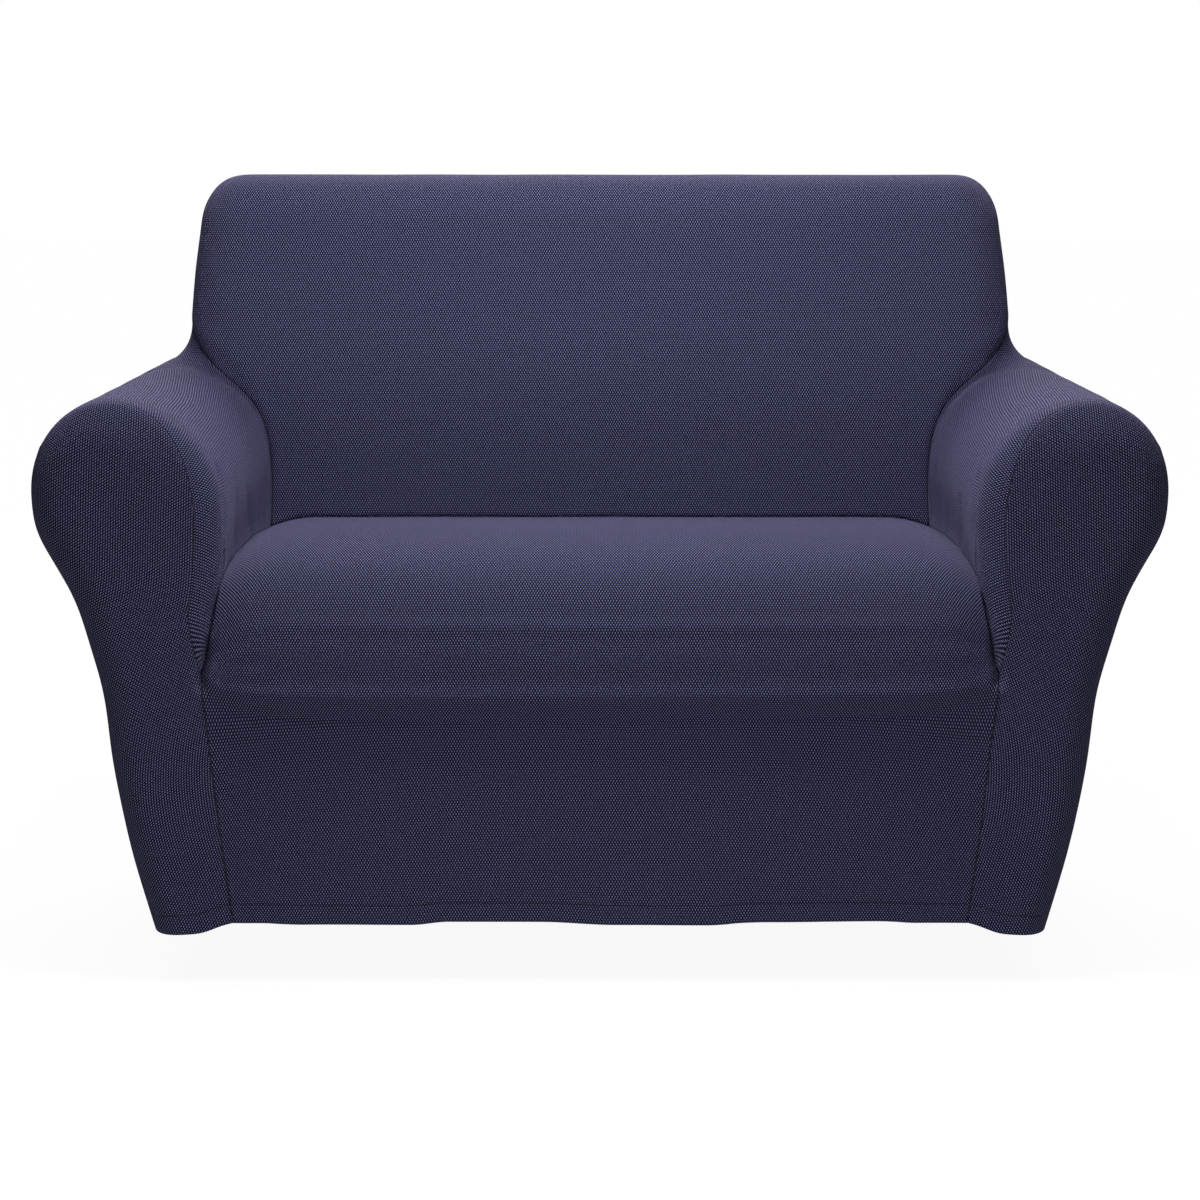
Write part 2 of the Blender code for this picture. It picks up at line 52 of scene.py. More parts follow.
TOP_UP = 0.923  # top of the back above the hem's corners
SEAT_HALF = 0.4585  # half the seat's width between the arms
CREVICE = (0.580, 0.450)  # (deep, up) of the line where seat and inside back meet
CREVICE_END_UP = 0.436  # that line turns down to this height at its ends, beside the arms
BACK_LEAN = 0.194  # how far the inside back leans away for each metre up
REAR_DEEP = 0.797  # outside back at the hem
REAR_LEAN = 0.022  # how far the outside back leans in for each metre up
HEM_RISE = 0.012  # how far the hem rises between the legs
SKIRT_SINK = 0.010  # how far back the skirt hangs from the arm fronts' plane, at the hem

CROWN = (0.597, 0.660)  # (across, up) of the top of an arm's roll
ROLL_OUT = 0.6955  # the roll's widest point, which is half the cover's width
ROLL_OUT_UP = 0.5465
ROLL_IN_UP = 0.5145  # where the roll's inner curve runs into the inner wall

FRONT_ROUND = 0.034  # radius from an arm's front to its sleeve
FRONT_ROUND_RISE = 0.095  # length of wall, up from the crease's end, in which that radius grows
BACK_ROUND = 0.050  # radius from the inside back to its sides
BACK_ROUND_RISE = (0.653, 0.733)  # heights between which that radius grows
ARM_SIDE_ROUND = 0.004  # radius of the same edge beside the arms, below those heights
TOP_ROUND = 0.060  # radius from the inside back to the top
TOP_ROUND_RISE = (0.860, 0.910)  # heights between which the side's radius becomes the top's
REAR_ROUND = 0.015  # radius round the outside back
TOP_CORNER = (0.056, 0.070)  # (across, up) of the back's upper corners
SHOULDER = (0.5785, 0.7135)  # (across, up) where an arm's cloth meets the back's side
SHOULDER_SWEEP = 0.045  # how far the cloth stretches out from the back's side to the arm
SWEEP_STEPS = 24
SLEEVE_STEP = 0.002  # the least distance back from one row of a sleeve to the next

# The inner wall of an arm, from the end of the crease beside the cushion to the roll.
INNER_WALL = (
    # across, up
    (0.4885, 0.3210),
    (0.4835, 0.3360),
    (0.4770, 0.3650),
    (0.4705, 0.4000),
    (0.4635, 0.4400),
    (SEAT_HALF, ROLL_IN_UP),
)

# The outer side of an arm, from the roll's widest point, round its neck and down to the hem.
OUTER_SIDE = (
    # across, up
    (ROLL_OUT, ROLL_OUT_UP),
    (0.6905, 0.5010),
    (0.6700, 0.4610),
    (0.6455, 0.4140),
    (0.6275, 0.3560),
    (0.6120, 0.2940),
    (0.6010, 0.2025),
    (0.5815, 0.1020),
    (0.5540, 0.0000),
)

# Where the inside back meets an arm, from the seat up to the shoulder.
BACK_SIDE = (
    # across, up
    (SEAT_HALF, CREVICE_END_UP),
    (0.4585, 0.5140),
    (0.4650, 0.5640),
    (0.4795, 0.6010),
    (0.5030, 0.6290),
    (0.5325, 0.6520),
    (0.5590, 0.6780),
    SHOULDER,
)

# The back's side above the shoulder, as far as its upper corner.
BACK_EDGE = (
    # across, up
    SHOULDER,
    (0.5770, 0.7430),
    (0.5725, 0.7930),
    (0.5650, 0.8530),
)

# Seat, cushion front and skirt, from the crevice forward and down to the hem: the middle line,
# then the edge, then how wide a strip beside the edge bends down or back to reach it.
SEAT = (
    # deep, up, edge_across, edge_deep, edge_up, bend
    (0.580, 0.450, 0.4585, 0.5773, 0.436, 0.060),
    (0.470, 0.462, 0.4588, 0.465, 0.446, 0.070),
    (0.360, 0.475, 0.4600, 0.350, 0.4505, 0.080),
    (0.260, 0.487, 0.4608, 0.240, 0.452, 0.085),
    (0.185, 0.492, 0.4616, 0.150, 0.450, 0.090),
    (0.120, 0.486, 0.4625, 0.080, 0.446, 0.090),
    (0.068, 0.470, 0.4640, 0.038, 0.437, 0.085),
    (0.032, 0.447, 0.4665, 0.018, 0.422, 0.080),
    (0.010, 0.418, 0.4709, 0.011, 0.398, 0.070),
    (-0.002, 0.384, 0.4765, 0.009, 0.368, 0.065),
    (-0.009, 0.345, 0.4835, 0.008, 0.336, 0.070),
    (-0.008, 0.310, 0.4885, 0.000, 0.321, 0.080),
    (0.004, 0.278, 0.4840, 0.001, 0.278, 0.180),
    (0.010, 0.250, 0.4800, 0.004, 0.236, 0.300),
    (0.010, 0.167, 0.4715, 0.007, 0.147, 0.400),
    (0.010, 0.088, 0.4625, 0.009, 0.075, 0.400),
    (0.010, 0.011, 0.4545, 0.010, 0.012, 0.400),
)
SEAT_SIDE_ROWS = 11  # the rows of SEAT that border the sleeve; the others border the arm front
CREASE_T = (SEAT_SIDE_ROWS - 1) / (len(SEAT) - 1)  # the last of those, as a share of all rows
SKIRT_T = SEAT_SIDE_ROWS / (len(SEAT) - 1)  # the first of the others

# Faces along each stretch of a panel's coarse grid.
GIRTH_CELLS = 56  # sleeve, from its inner edge over the roll to the hem
GIRTH_EASE = 0.15  # how much shorter the steps are near both ends
FRONT_CELLS = 6  # sleeve, round the front edge
CREASE_CELLS = 16  # sleeve and seat, from the front to the crevice
BACK_SIDE_CELLS = 10  # sleeve and inside back, up to the shoulder
SHOULDER_CELLS = 4  # sleeve and inside back, from the shoulder to the rear edge
BACK_EDGE_CELLS = 12  # the back's side, from the shoulder to the middle of its upper corner
ACROSS_CELLS = 32  # inside back, outside back and seat, from side to side
ACROSS_EASE = 0.75  # how much shorter those steps are near both sides
FRONT_TOP_CELLS = 12  # arm front, over the top of the roll and from side to side
FRONT_HEM_EASE = 1.6  # above 1, the cells along its hem are narrower towards the outer side
TOP_DRAW = 0.6  # how far the arm front's last row is drawn up to round its fold over the roll
INNER_SEAM_CELLS = 14  # arm front, up its inner seam
SKIRT_CELLS = GIRTH_CELLS - FRONT_TOP_CELLS - 2 * INNER_SEAM_CELLS  # arm front, beside the skirt
FINE_LEVELS = 2  # subdivisions of that grid, down to about 7 mm a face

WALE = 0.0035  # the knit: from one column of its stitches to the next
COURSE = 0.0031  # and from one row to the next
SLEEVE_PULL = 0.45  # how far the sleeves' stitches lean, for each metre back
HEM_BAND = 0.024  # depth of the hem, up to its row of stitches
LOOP_EDGE = (0.12, 0.65)  # a pale loop's edge, from its outside to its inside
LOOP_HEIGHT = 0.0006
LOOP_SHADES = (0.6, 0.8)  # how pale the dullest loop is, and what the brightest adds
LOOP_PATCHES = 330.0  # patches of duller and brighter loops in a metre
YARN_WANDER = 0.0012  # how far the yarn strays from a ruled line
YARN_BENDS = 35.0  # and how often, in a metre
SEAM_GROOVE = 0.0018  # half the width of the groove that a seam pulls in
GROOVE_DEPTH = 2.4  # in loop heights
GROOVE_PAINTED_SHADE = 0.45  # how far painted shade darkens the groove's colour towards near-black
HEM_THICKNESS = 0.9  # what the hem's second layer adds, in loop heights
FRONT_SLOPE = (8.0, 32.0)  # degrees that an arm front's rows run down, at the hem and at the roll
FRONT_SLOPE_RISE = (0.05, 0.45)  # heights between which that slope grows
FRONT_MIDDLE = 0.56  # how far across the arm front's middle is
SLACK = 0.0009  # how far the cloth wanders in and out, where nothing below holds it
SLACK_BENDS = 9.0  # and how often, in a metre
SLACK_SEED = 7
CREASE_FADE = 0.25  # the share of a crease's length in which each end dies away
CREASE_REACH = 2.5  # past this many widths from its line, a crease does nothing

# Creases, each along a smooth curve. The first point is how far it pushes the cloth.
CREASES = (
    # width, then (across, deep, up) of the push and of the curve's points
    # Below the cushion, where the skirt begins, and along the cushion's upper front edge.
    (0.015, (0, -0.0075, 0), (-0.480, -0.004, 0.318), (-0.447, -0.004, 0.303),
     (-0.367, -0.003, 0.296),
     (-0.184, -0.003, 0.293), (0.000, -0.003, 0.294), (0.196, -0.003, 0.296),
     (0.367, -0.003, 0.300),
     (0.446, -0.004, 0.307), (0.481, -0.004, 0.320)),
    (0.008, (0, 0.0050, 0), (-0.484, 0.000, 0.292), (-0.447, 0.002, 0.279), (-0.367, 0.005, 0.271),
     (-0.184, 0.006, 0.268), (0.000, 0.006, 0.269), (0.196, 0.005, 0.271), (0.367, 0.003, 0.276),
     (0.446, 0.002, 0.283), (0.485, 0.000, 0.295)),
    (0.008, (0, -0.0024, 0.0018), (-0.462, 0.008, 0.385), (-0.366, -0.002, 0.386),
     (-0.183, -0.002, 0.384), (0.000, -0.002, 0.383), (0.183, -0.002, 0.384),
     (0.366, -0.002, 0.386), (0.460, 0.008, 0.387)),
    # The tucks at the lower ends of the cushion's side creases.
    (0.0065, (-0.001, 0.0170, 0), (-0.4790, 0.016, 0.372), (-0.4835, 0.008, 0.345),
     (-0.4875, 0.001, 0.322), (-0.4850, -0.002, 0.300)),
    (0.0065, (0.001, 0.0150, 0), (0.4780, 0.018, 0.378), (0.4835, 0.008, 0.345),
     (0.4870, 0.001, 0.324), (0.4855, -0.002, 0.305)),
    # Short pulls that spread from those tucks over the cushion's front.
    (0.007, (0, 0.0022, 0), (-0.478, 0.001, 0.331), (-0.439, -0.007, 0.340),
     (-0.405, -0.010, 0.341)),
    (0.006, (0, 0.0020, 0), (-0.478, -0.002, 0.320), (-0.439, -0.007, 0.315),
     (-0.394, -0.009, 0.311)),
    (0.008, (0, 0.0016, 0), (-0.474, 0.006, 0.343), (-0.452, -0.001, 0.357),
     (-0.412, -0.006, 0.368)),
    (0.007, (0, 0.0021, 0), (0.479, 0.001, 0.334), (0.446, -0.007, 0.338), (0.418, -0.010, 0.335)),
    (0.006, (0, 0.0017, 0), (0.478, -0.002, 0.322), (0.444, -0.007, 0.319), (0.410, -0.009, 0.318)),
    (0.009, (0, 0.0018, 0), (0.470, 0.010, 0.352), (0.446, 0.000, 0.366), (0.399, -0.005, 0.372)),
    # Pulls in the seat, beside the arms.
    (0.008, (0, 0.0010, -0.0026), (-0.464, 0.110, 0.424), (-0.452, 0.050, 0.415),
     (-0.436, 0.020, 0.398)),
    (0.009, (0, 0.0010, -0.0022), (-0.455, 0.170, 0.435), (-0.437, 0.080, 0.431),
     (-0.412, 0.036, 0.421)),
    (0.008, (0, 0.0010, -0.0024), (0.465, 0.095, 0.421), (0.450, 0.045, 0.413),
     (0.429, 0.018, 0.398)),
    (0.010, (0, 0.0008, -0.0018), (0.454, 0.190, 0.437), (0.430, 0.100, 0.437),
     (0.400, 0.047, 0.426)),
    # Slack in the inner sides of the arms.
    (0.013, (-0.0042, 0, 0), (-0.473, 0.080, 0.578), (-0.463, 0.050, 0.545),
     (-0.461, 0.045, 0.480)),
    (0.016, (-0.0040, 0, 0), (-0.461, 0.186, 0.540), (-0.460, 0.167, 0.496),
     (-0.462, 0.175, 0.445)),
    (0.014, (-0.0036, 0, 0), (-0.460, 0.280, 0.520), (-0.460, 0.324, 0.484),
     (-0.462, 0.370, 0.445)),
    (0.012, (-0.0050, 0, 0), (-0.459, 0.521, 0.540), (-0.460, 0.515, 0.482),
     (-0.461, 0.506, 0.440)),
    (0.012, (0.0030, 0, 0), (-0.459, 0.478, 0.530), (-0.460, 0.470, 0.482), (-0.461, 0.462, 0.445)),
    (0.013, (0.0036, 0, 0), (0.470, 0.090, 0.572), (0.463, 0.058, 0.540), (0.461, 0.060, 0.474)),
    (0.017, (0.0042, 0, 0), (0.461, 0.210, 0.530), (0.460, 0.196, 0.490), (0.462, 0.214, 0.445)),
    (0.013, (0.0034, 0, 0), (0.460, 0.330, 0.500), (0.460, 0.352, 0.474), (0.462, 0.382, 0.446)),
    (0.012, (0.0052, 0, 0), (0.459, 0.508, 0.550), (0.460, 0.500, 0.490), (0.461, 0.492, 0.440)),
    (0.012, (-0.0030, 0, 0), (0.459, 0.462, 0.520), (0.460, 0.455, 0.480), (0.461, 0.452, 0.445)),
    # Strain from the shoulders, round the arms' rear ends and down the back's sides.
    (0.012, (0.0010, 0.0010, -0.0030), (-0.568, 0.650, 0.692), (-0.552, 0.628, 0.655),
     (-0.515, 0.560, 0.630)),
    (0.010, (0.0006, 0.0022, -0.0020), (-0.570, 0.655, 0.700), (-0.530, 0.625, 0.668),
     (-0.480, 0.618, 0.610)),
    (0.012, (-0.0010, 0.0010, -0.0028), (0.568, 0.650, 0.690), (0.556, 0.630, 0.655),
     (0.524, 0.545, 0.636)),
    (0.010, (-0.0006, 0.0022, -0.0018), (0.570, 0.655, 0.700), (0.526, 0.625, 0.662),
     (0.474, 0.618, 0.598)),
    # The hem's edge isn't ruled straight.
    (0.030, (0, -0.0014, -0.0020), (-0.420, 0.010, 0.012), (-0.300, 0.010, 0.012),
     (-0.190, 0.010, 0.012)),
    (0.030, (0, 0.0012, 0.0016), (-0.230, 0.010, 0.012), (-0.130, 0.010, 0.012),
     (-0.020, 0.010, 0.012)),
    (0.030, (0, -0.0014, -0.0016), (-0.030, 0.010, 0.012), (0.080, 0.010, 0.012),
     (0.170, 0.010, 0.012)),
    (0.030, (0, 0.0014, 0.0018), (0.150, 0.010, 0.012), (0.280, 0.010, 0.012),
     (0.390, 0.010, 0.012)),
)

WORLD_FILL = 0.16  # the studio: how strongly its white walls light the cloth
FLOOR_GLOW = 0.93
FLOOR_WHITE = 0.12
FLOOR_HALF = 30.0
LIGHTS = {
    # watts, spot, angle from straight down, width, depth
    "softbox": (20.0, (0.0, -0.55, 1.8), 30.0, 0.8, 0.5),
    "bounce_card": (5.6, (0.0, -1.6, 0.1), 97.0, 0.8, 0.3),
}
REAR_SCRIM = 2.0
SCRIM_SPREAD = 40.0  # degrees
SCRIM_TILT = -50.0  # degrees from straight down
LENS = 96.0
CAMERA_SPOT = (0.0, -4.255, 0.972)
CAMERA_DOWN = 8.18  # degrees below level


# ---- shapes -------------------------------------------------------------------------------


def smooth(low, high, value):
    """0 below low, 1 above high, and an easy curve between."""
    t = min(max((value - low) / (high - low), 0.0), 1.0)
    return t * t * (3.0 - 2.0 * t)


def spline(rows, t):
    """The point at t, from 0 to 1, on a smooth curve through rows evenly spaced in t."""
    spans = len(rows) - 1
    span = min(int(t * spans), spans - 1)
    f = t * spans - span
    p0, p1, p2, p3 = (rows[min(max(span + k, 0), spans)] for k in (-1, 0, 1, 2))
    return tuple(
        b + 0.5 * f * (c - a + f * (2 * a - 5 * b + 4 * c - d + f * (3 * (b - c) + d - a)))
        for a, b, c, d in zip(p0, p1, p2, p3)
    )


def sampled(rows, per_row=12):
    count = (len(rows) - 1) * per_row
    return [spline(rows, k / count) for k in range(count + 1)]


def quarter(centre, across, up, start, steps=24):
    """A quarter of an ellipse, clockwise from the start angle in degrees."""
    turns = [math.radians(start - 90.0 * k / steps) for k in range(steps + 1)]
    return [(centre[0] + across * math.cos(a), centre[1] + up * math.sin(a)) for a in turns]


class Path:
    """A curve in (across, up), read by its length in metres. Outside is on its left."""

    def __init__(self, points):
        self.points = [points[0]]
        self.lengths = [0.0]
        for point in points[1:]:
            step = math.dist(point, self.points[-1])
            if step > 1e-6:
                self.points.append(point)
                self.lengths.append(self.lengths[-1] + step)
        self.length = self.lengths[-1]

    def at(self, length):
        length = min(max(length, 0.0), self.length)
        k = 1
        while self.lengths[k] < length - 1e-9:
            k += 1
        f = (length - self.lengths[k - 1]) / (self.lengths[k] - self.lengths[k - 1])
        (x0, z0), (x1, z1) = self.points[k - 1], self.points[k]
        return (x0 + f * (x1 - x0), z0 + f * (z1 - z0))

    def outward(self, length, reach=0.004):
        (x0, z0), (x1, z1) = self.at(length - reach), self.at(length + reach)
        size = math.hypot(x1 - x0, z1 - z0)
        return (-(z1 - z0) / size, (x1 - x0) / size)

    def nearest(self, point):
        """Length along the path of the place nearest to a point."""
        best = (math.inf, 0.0)
        for k in range(1, len(self.points)):
            (x0, z0), (x1, z1) = self.points[k - 1], self.points[k]
            step = self.lengths[k] - self.lengths[k - 1]
            f = ((point[0] - x0) * (x1 - x0) + (point[1] - z0) * (z1 - z0)) / step**2
            f = min(max(f, 0.0), 1.0)
            gap = math.dist((x0 + f * (x1 - x0), z0 + f * (z1 - z0)), point)
            best = min(best, (gap, self.lengths[k - 1] + f * step))
        return best[1]

    def between(self, start, end):
        """The part of the path from one length to another."""
        middle = [p for p, at in zip(self.points, self.lengths) if start < at < end]
        return [self.at(start)] + middle + [self.at(end)]


def arm_profile():
    """An arm's section: up the inner wall, over the roll and down the outer side to the hem."""
    inner = quarter((CROWN[0], ROLL_IN_UP), CROWN[0] - SEAT_HALF, CROWN[1] - ROLL_IN_UP, 180.0)
    outer = quarter((CROWN[0], ROLL_OUT_UP), ROLL_OUT - CROWN[0], CROWN[1] - ROLL_OUT_UP, 90.0)
    return Path(sampled(INNER_WALL) + inner + outer + sampled(OUTER_SIDE))


def back_outline():
    """The back from the front: from the top's middle round the corner and down to the seat."""
    centre = (BACK_EDGE[-1][0] - TOP_CORNER[0], TOP_UP - TOP_CORNER[1])
    top = [(centre[0] * k / 24, TOP_UP) for k in range(25)]
    corner = quarter(centre, TOP_CORNER[0], TOP_CORNER[1], 90.0)
    return Path(top + corner + sampled(BACK_EDGE)[::-1] + sampled(BACK_SIDE)[::-1])


ARM = arm_profile()
BACK = back_outline()
CROWN_LENGTH = ARM.nearest(CROWN)
CORNER_LENGTH = BACK.nearest((BACK_EDGE[-1][0] - 0.3 * TOP_CORNER[0], TOP_UP - 0.3 * TOP_CORNER[1]))
SHOULDER_LENGTH = BACK.nearest(SHOULDER)


def place(across, deep, up):
    return Vector((across, FRONT_Y + deep, up))


def back_deep(up):
    """Depth of the inside back's face at a height."""
    return CREVICE[0] + BACK_LEAN * (up - CREVICE[1])


def rear_deep(up):
    return REAR_DEEP - REAR_LEAN * up


def front_round(length):
    """Radius of an arm's front edge, which dies away into the crease beside the cushion."""
    return FRONT_ROUND * math.sin(math.pi / 2 * min(length / FRONT_ROUND_RISE, 1.0))


def seam_turn(length):
    """How far round the front edge the seam lies: on the front inside, at the side outside."""
    return math.radians(78.0) * smooth(CROWN_LENGTH - 0.200, CROWN_LENGTH + 0.030, length)


def front_edge(length, turn):
    """A point on the rounded edge between an arm's front and its sleeve."""
    across, up = ARM.at(length)
    out_across, out_up = ARM.outward(length)
    radius = front_round(length)
    inset = radius * (1.0 - math.sin(turn))
    return place(across - inset * out_across, radius * (1.0 - math.cos(turn)), up - inset * out_up)


def back_round(length):
    """Radius of the inside back's edge: wide over the top and sides, small beside the arms."""
    up = BACK.at(length)[1]
    side = ARM_SIDE_ROUND * smooth(CREVICE_END_UP, CREVICE_END_UP + 0.05, up)
    side += (BACK_ROUND - ARM_SIDE_ROUND) * smooth(*BACK_ROUND_RISE, up)
    return side + (TOP_ROUND - BACK_ROUND) * smooth(*TOP_ROUND_RISE, up)


def back_edge_point(length):
    across, up = BACK.at(length)
    return place(across, back_deep(up) + back_round(length), up)


def side_lengths():
    """Lengths on BACK from the crevice up to the shoulder and on to the corner's middle."""
    below = [
        BACK.length + (SHOULDER_LENGTH - BACK.length) * k / BACK_SIDE_CELLS
        for k in range(BACK_SIDE_CELLS)
    ]
    above = [
        SHOULDER_LENGTH + (CORNER_LENGTH - SHOULDER_LENGTH) * k / BACK_EDGE_CELLS
        for k in range(BACK_EDGE_CELLS + 1)
    ]
    return below + above


def spread(k, count, ease):
    """Share k of count, with smaller steps near both ends."""
    t = k / count
    return t - ease * math.sin(2.0 * math.pi * t) / (2.0 * math.pi)


def across_shares():
    return [2.0 * spread(k, ACROSS_CELLS, ACROSS_EASE) - 1.0 for k in range(ACROSS_CELLS + 1)]


def seat_row(t):
    """One row of the seat, by its place t from the crevice (0) to the hem (1)."""
    return spline(SEAT, t)


def seat_points(t):
    """The points of that row, from side to side."""
    deep, up, edge_across, edge_deep, edge_up, bend = seat_row(t)
    points = []
    for share in across_shares():
        across = share * edge_across
        f = max(1.0 - (edge_across - abs(across)) / bend, 0.0) ** 2
        points.append(place(across, deep + (edge_deep - deep) * f, up + (edge_up - up) * f))
    return points


def crease_t(k):
    """Place of sleeve station k on the seat's rows, counted from the crease's lower end."""
    return CREASE_T * (1.0 - k / CREASE_CELLS)


def seat_edge(t):
    row = seat_row(t)
    return place(row[2], row[3], row[4])


def hem_drop(deep):
    """Height of the hem along an arm's outer side, lowest over the front and rear legs."""
    return HEM_RISE * smooth(0.03, 0.30, deep) * smooth(0.03, 0.30, REAR_DEEP - deep)


def roll_up(across):
    """Height of an arm's roll at a distance across."""
    inner = across < CROWN[0]
    reach = CROWN[0] - SEAT_HALF if inner else ROLL_OUT - CROWN[0]
    middle = ROLL_IN_UP if inner else ROLL_OUT_UP
    share = min(abs(CROWN[0] - across) / reach, 1.0)
    return middle + (CROWN[1] - middle) * math.sqrt(1.0 - share * share)


def sleeve_section(start):
    """The sleeve's section from a start on the arm, or from one on the back's side above it."""
    across, up, deep = start.x, start.z, start.y - FRONT_Y
    end = ARM.length - hem_drop(deep)
    lift = up - roll_up(across) if up > ROLL_IN_UP + 0.02 else 0.0
    if lift < 0.001:
        return Path([(across, up)] + ARM.between(ARM.nearest((across, up)) + 0.0005, end)[1:])
    sweep = SHOULDER_SWEEP * smooth(0.0, 0.030, lift)
    rise = []
    for k in range(SWEEP_STEPS):
        turn = math.radians(90.0 * k / SWEEP_STEPS)
        x = across + sweep * (1.0 - math.cos(turn))
        rise.append((x, roll_up(x) + lift * (1.0 - math.sin(turn))))
    foot = (across + sweep, roll_up(across + sweep))
    return Path(rise + ARM.between(ARM.nearest(foot), end))


def to_rear(point, share):
    """A point carried straight back by a share of its way to the rear edge."""
    rear = FRONT_Y + rear_deep(point.z) - REAR_ROUND
    return Vector((point.x, point.y + (rear - point.y) * share, point.z))


def sleeve_rows():
    """Points of the right sleeve: a row for each station from the front seam to the rear seam."""
    rows = []
    shares = [spread(k, GIRTH_CELLS, GIRTH_EASE) for k in range(GIRTH_CELLS + 1)]
    crease_end = ARM.nearest(INNER_WALL[1])
    for k in range(FRONT_CELLS + 1):
        row = []
        skipped = crease_end * k / FRONT_CELLS
        for share in shares:
            length = skipped + (ARM.length - skipped) * share
            seam = seam_turn(length)
            row.append(front_edge(length, seam + (math.pi / 2 - seam) * k / FRONT_CELLS))
        rows.append(row)
    rows[-1][0] = seat_edge(crease_t(0))
    starts = [seat_edge(crease_t(k)) for k in range(1, CREASE_CELLS + 1)]
    starts += [back_edge_point(length) for length in side_lengths()[1 : BACK_SIDE_CELLS + 1]]
    for start in starts:
        path = sleeve_section(start)
        points = [path.at(path.length * share) for share in shares]
        rows.append([Vector((across, start.y, up)) for across, up in points])
    for behind, row in enumerate(rows[FRONT_CELLS:]):
        for point, edge in zip(row[1:], rows[FRONT_CELLS][1:]):
            point.y = max(point.y, edge.y + SLEEVE_STEP * behind)
    shoulder = rows[-1]
    for k in range(1, SHOULDER_CELLS + 1):
        rows.append([to_rear(point, k / SHOULDER_CELLS) for point in shoulder])
    return rows


def patch(low, high, left, right):
    """A flat sheet between four edges given as lists of (across, up): Coons's rule."""
    across_count, up_count = len(low) - 1, len(left) - 1
    span = Path(left)
    heights = [length / span.length for length in span.lengths]
    rows = []
    for j in range(up_count + 1):
        b = heights[j]
        row = []
        for i in range(across_count + 1):
            a = (low[i][0] - low[0][0]) / (low[-1][0] - low[0][0])
            point = []
            for n in (0, 1):
                edges = (
                    (1 - b) * low[i][n] + b * high[i][n] + (1 - a) * left[j][n] + a * right[j][n]
                )
                ends = (1 - a) * ((1 - b) * low[0][n] + b * high[0][n])
                ends += a * ((1 - b) * low[-1][n] + b * high[-1][n])
                point.append(edges - ends)
            row.append(tuple(point))
        rows.append(row)
    return rows


def wrapped(path, point, radius_at):
    """Fold a flat point over the rounded edge that ends at a path: (across, drop, up)."""
    length = path.nearest(point)
    foot = path.at(length)
    out = path.outward(length)
    inside = (foot[0] - point[0]) * out[0] + (foot[1] - point[1]) * out[1]
    radius = radius_at(length)
    over = radius - inside
    if radius == 0.0 or over <= 0.0:
        return point[0], 0.0, point[1]
    turn = min(over / radius, math.pi / 2)
    shift = inside - radius * (1.0 - math.sin(turn))
    return point[0] + shift * out[0], radius * (1.0 - math.cos(turn)), point[1] + shift * out[1]


def unrolled(path, length, radius, turn=math.pi / 2):
    """The flat place of a point that will be folded by a turn over the path's rounded edge."""
    across, up = path.at(length)
    out = path.outward(length)
    return (across + radius * (turn - 1.0) * out[0], up + radius * (turn - 1.0) * out[1])


def cloth_places(rows, column, row_kept):
    """Places on the flat cloth, by length along the rows and the columns from a kept crossing."""
    along = []
    for row in rows:
        steps = [0.0]
        for n in range(1, len(row)):
            steps.append(steps[-1] + (row[n] - row[n - 1]).length)
        along.append([step - steps[column] for step in steps])
    down = [[0.0] * len(rows[0])]
    for j in range(1, len(rows)):
        steps = [(rows[j][n] - rows[j - 1][n]).length for n in range(len(rows[0]))]
        down.append([before + step for before, step in zip(down[-1], steps)])
    return [
        [(u, v - kept) for u, v, kept in zip(us, vs, down[row_kept])] for us, vs in zip(along, down)
    ]


# ---- panels -------------------------------------------------------------------------------


def coarse(name, rows, places, closed_by=None):
    """A panel's coarse grid, with each vertex's place on the flat cloth kept beside it."""
    bm = bmesh.new()
    bmesh.ops.create_grid(bm, x_segments=len(rows[0]) - 1, y_segments=len(rows) - 1, size=1.0)
    flat_place = bm.verts.layers.float_vector.new("flat_place")
    for vert, point, flat in zip(bm.verts, sum(rows, []), sum(places, [])):
        vert.co = point
        vert[flat_place] = (*flat, 0.0)
    if closed_by:
        closed_by(bm)
    return name, bm


def pulled_askew(places):
    """A sleeve's cloth is dragged forwards over the roll, so its rows of stitches lean."""
    return [[(u + SLEEVE_PULL * v, v) for u, v in row] for row in places]


def mirrored(rows):
    return [[Vector((-p.x, p.y, p.z)) for p in row[::-1]] for row in rows]


def mirrored_places(places):
    return [[(-u, v) for u, v in row[::-1]] for row in places]


def sleeves():
    rows = sleeve_rows()
    places = pulled_askew(cloth_places(rows, GIRTH_CELLS, FRONT_CELLS))
    return [
        coarse("arm_sleeve_right", rows, places),
        coarse("arm_sleeve_left", mirrored(rows), mirrored_places(places)),
    ]


def seat_and_skirt():
    """Seat top, cushion front and front skirt, in one length."""
    crease = [crease_t(k) for k in range(CREASE_CELLS, -1, -1)]
    skirt = [1.0 - (1.0 - SKIRT_T) * k / SKIRT_CELLS for k in range(SKIRT_CELLS, -1, -1)]
    rows = [seat_points(t) for t in crease + skirt]
    middle = ACROSS_CELLS // 2
    places = cloth_places(rows, middle, len(rows) - 1)
    level = [[(u, row[middle][1]) for u, _ in row] for row in places]
    return [coarse("seat_and_skirt", rows, level)]


def knit_turn(point):
    """The arm front's cloth is cut on the cross: its rows of stitches run down towards the seat."""
    across, up = point
    at_hem, at_roll = FRONT_SLOPE
    slope = math.radians(at_hem + (at_roll - at_hem) * smooth(*FRONT_SLOPE_RISE, up))
    x, z = across - FRONT_MIDDLE, up
    return (x * math.cos(slope) + z * math.sin(slope), z * math.cos(slope) - x * math.sin(slope))


